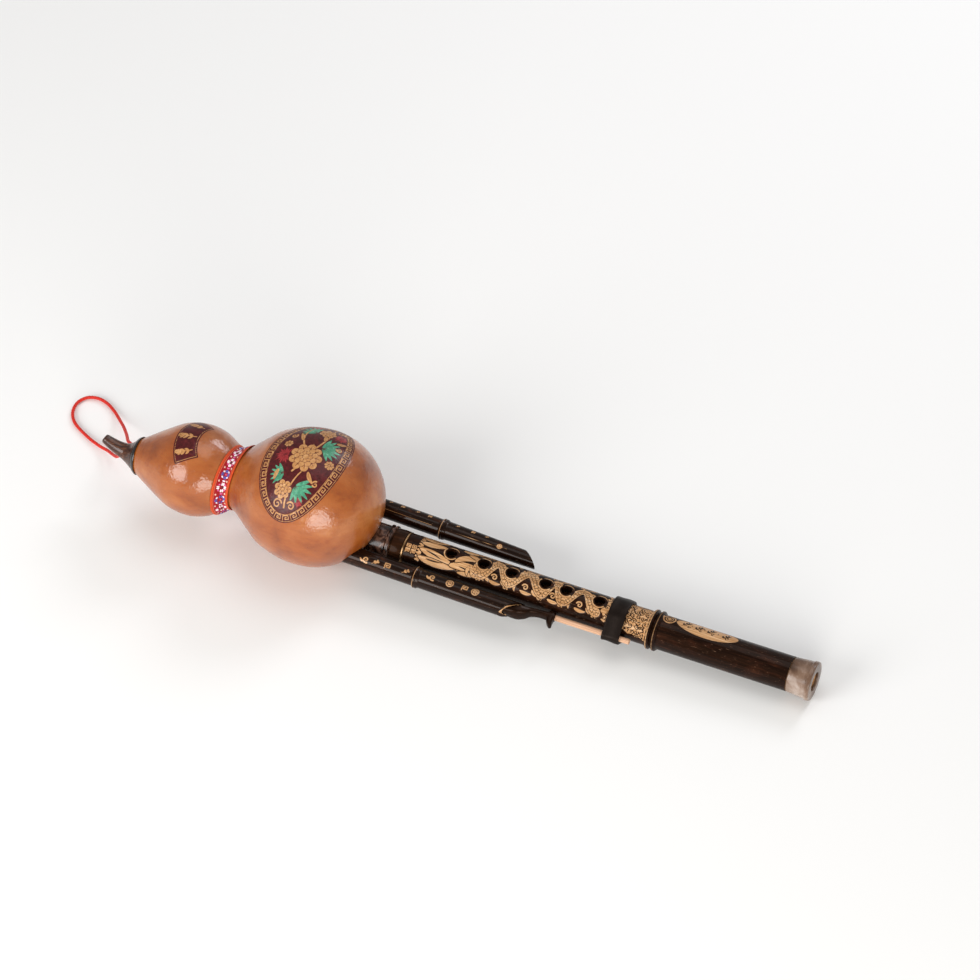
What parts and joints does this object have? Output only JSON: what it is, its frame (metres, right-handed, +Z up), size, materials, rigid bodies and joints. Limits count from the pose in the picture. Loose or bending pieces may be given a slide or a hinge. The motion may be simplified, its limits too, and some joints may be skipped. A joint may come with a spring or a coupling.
{
  "type": "gourd flute",
  "caption": "Wind instrument: a hollow gourd air chamber with a bent mouthpiece, a fingered main pipe that slides in its socket, drone pipes beside it and a sliding drone stopper",
  "frame": {"origin": "The middle of the underside, on the surface that the flute lies on, measured without the hanging cord", "axes": "+X runs along the flute from the mouthpiece towards the foot, +Y points to the side of the far drone, +Z is up and is the side with the finger holes"},
  "size_m": [0.4807, 0.093, 0.0786],
  "materials": {
    "gourd_lacquer": "caramel gourd rind under clear lacquer, with dark painted panels",
    "mouthpiece_wood": "dark brown polished wood",
    "black_lacquer": "black lacquer",
    "ribbon": "woven red ribbon with flowers",
    "horn": "mottled grey and brown horn, polished",
    "bed": "dark sealing wax",
    "reed_brass": "thin hammered brass",
    "reed_wax": "brown wax",
    "plug_wood": "raw soft wood",
    "drone_bamboo": "black-brown bamboo, polished, with light carving",
    "main_bamboo": "black-brown bamboo, polished, carved through to tan wood",
    "thread": "waxed thread",
    "sleeve_wood": "dark polished wood",
    "ring_brass": "polished brass",
    "band_rubber": "matte black rubber",
    "stopper_wood": "black stained wood",
    "rod_bamboo": "pale raw bamboo",
    "cord": "red braided cord"
  },
  "bodies": {
    "gourd_body": {"gourd_shell": "gourd_lacquer", "mouthpiece": "mouthpiece_wood", "neck_collar": "black_lacquer", "waist_ribbon": "ribbon", "pipe_socket": "horn", "pipe_bed": "bed", "main_reed": "reed_brass", "main_reed_wax": "reed_wax", "main_end_plug": "plug_wood", "near_drone": "drone_bamboo", "near_end_plug": "plug_wood", "near_reed": "reed_brass", "near_reed_wax": "reed_wax", "far_drone": "drone_bamboo", "far_end_plug": "plug_wood", "far_reed": "reed_brass", "far_reed_wax": "reed_wax", "cord_knot": "cord", "cord_loop": "cord"},
    "main_pipe_body": {"main_pipe": "main_bamboo", "tenon_lapping": "thread", "pipe_sleeve": "sleeve_wood", "sleeve_ring": "ring_brass", "foot_ferrule": "horn", "guide_band": "band_rubber"},
    "drone_stop_body": {"drone_stopper": "stopper_wood", "stopper_rod": "rod_bamboo"}
  },
  "joints": [
    {"name": "tuning_slide", "type": "slide", "parent": "gourd_body", "child": "main_pipe_body", "axis": [0.9996, 0, -0.0285], "range_m": [0, 0.008]},
    {"name": "drone_stop_slide", "type": "slide", "parent": "main_pipe_body", "child": "drone_stop_body", "axis": [0.9996, 0, -0.0285], "range_m": [0, 0.02]}
  ]
}
